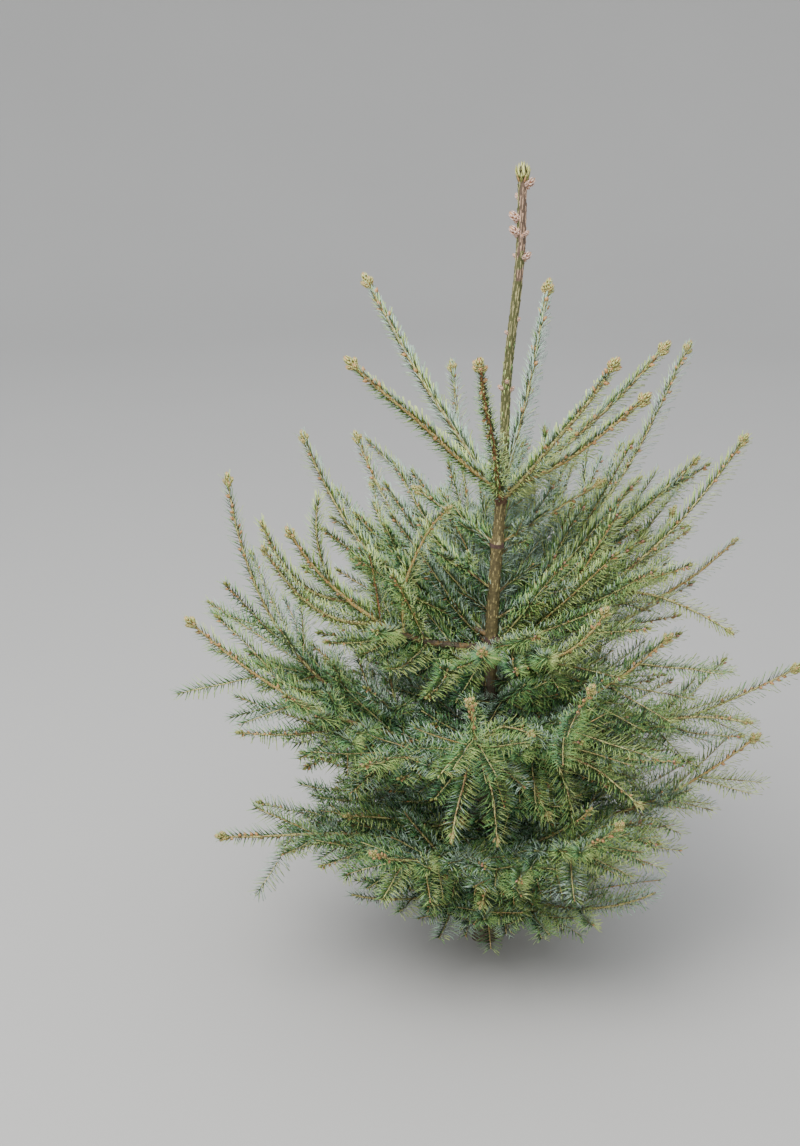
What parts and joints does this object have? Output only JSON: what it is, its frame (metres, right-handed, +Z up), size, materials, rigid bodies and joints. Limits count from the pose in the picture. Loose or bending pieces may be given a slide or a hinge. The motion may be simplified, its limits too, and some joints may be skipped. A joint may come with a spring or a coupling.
{
  "type": "young spruce tree",
  "caption": "Young open-grown spruce rooted in the ground: straight tapering trunk with a long leading shoot, whorls of up-curving boughs and short needled twigs, dormant.",
  "frame": {"origin": "middle of the flat cut under the trunk, at ground level", "axes": "+Z up along the trunk, +X to the right as the tree is seen from its front, +Y away from the viewer"},
  "size_m": [0.8334, 0.6456, 1.15],
  "materials": {
    "trunk_bark": "rough",
    "bough_bark": "rough",
    "young_needles": "matte",
    "needles": "matte"
  },
  "bodies": {
    "root": {"bough_fourth_1": "bough_bark", "bough_fourth_2": "bough_bark", "bough_fourth_3": "bough_bark", "bough_fourth_4": "bough_bark", "bough_fourth_5": "bough_bark", "bough_fourth_6": "bough_bark", "bough_second_1": "bough_bark", "bough_second_2": "bough_bark", "bough_second_3": "bough_bark", "bough_second_4": "bough_bark", "bough_second_5": "bough_bark", "bough_second_6": "bough_bark", "bough_second_7": "bough_bark", "bough_second_8": "bough_bark", "bough_second_9": "bough_bark", "bough_third_1": "bough_bark", "bough_third_2": "bough_bark", "bough_third_3": "bough_bark", "bough_third_4": "bough_bark", "bough_third_5": "bough_bark", "bough_third_6": "bough_bark", "bough_third_7": "bough_bark", "bough_third_8": "bough_bark", "needles_fifth_1": "needles", "needles_fifth_2": "needles", "needles_fifth_3": "needles", "needles_fifth_4": "needles", "needles_fourth_1": "needles", "needles_fourth_2": "needles", "needles_fourth_3": "needles", "needles_fourth_4": "needles", "needles_fourth_5": "needles", "needles_fourth_6": "needles", "needles_middle_1": "young_needles", "needles_middle_2": "young_needles", "needles_second_1": "needles", "needles_second_2": "needles", "needles_second_3": "needles", "needles_second_4": "needles", "needles_second_5": "needles", "needles_second_6": "needles", "needles_second_7": "needles", "needles_second_8": "needles", "needles_second_9": "needles", "needles_third_1": "needles", "needles_third_2": "needles", "needles_third_3": "needles", "needles_third_4": "needles", "needles_third_5": "needles", "needles_third_6": "needles", "needles_third_7": "needles", "needles_third_8": "needles", "needles_top_1": "young_needles", "needles_top_2": "young_needles", "needles_top_3": "young_needles", "needles_top_4": "young_needles", "needles_top_5": "young_needles", "needles_top_6": "young_needles", "needles_top_7": "young_needles", "trunk": "trunk_bark"}
  },
  "joints": []
}
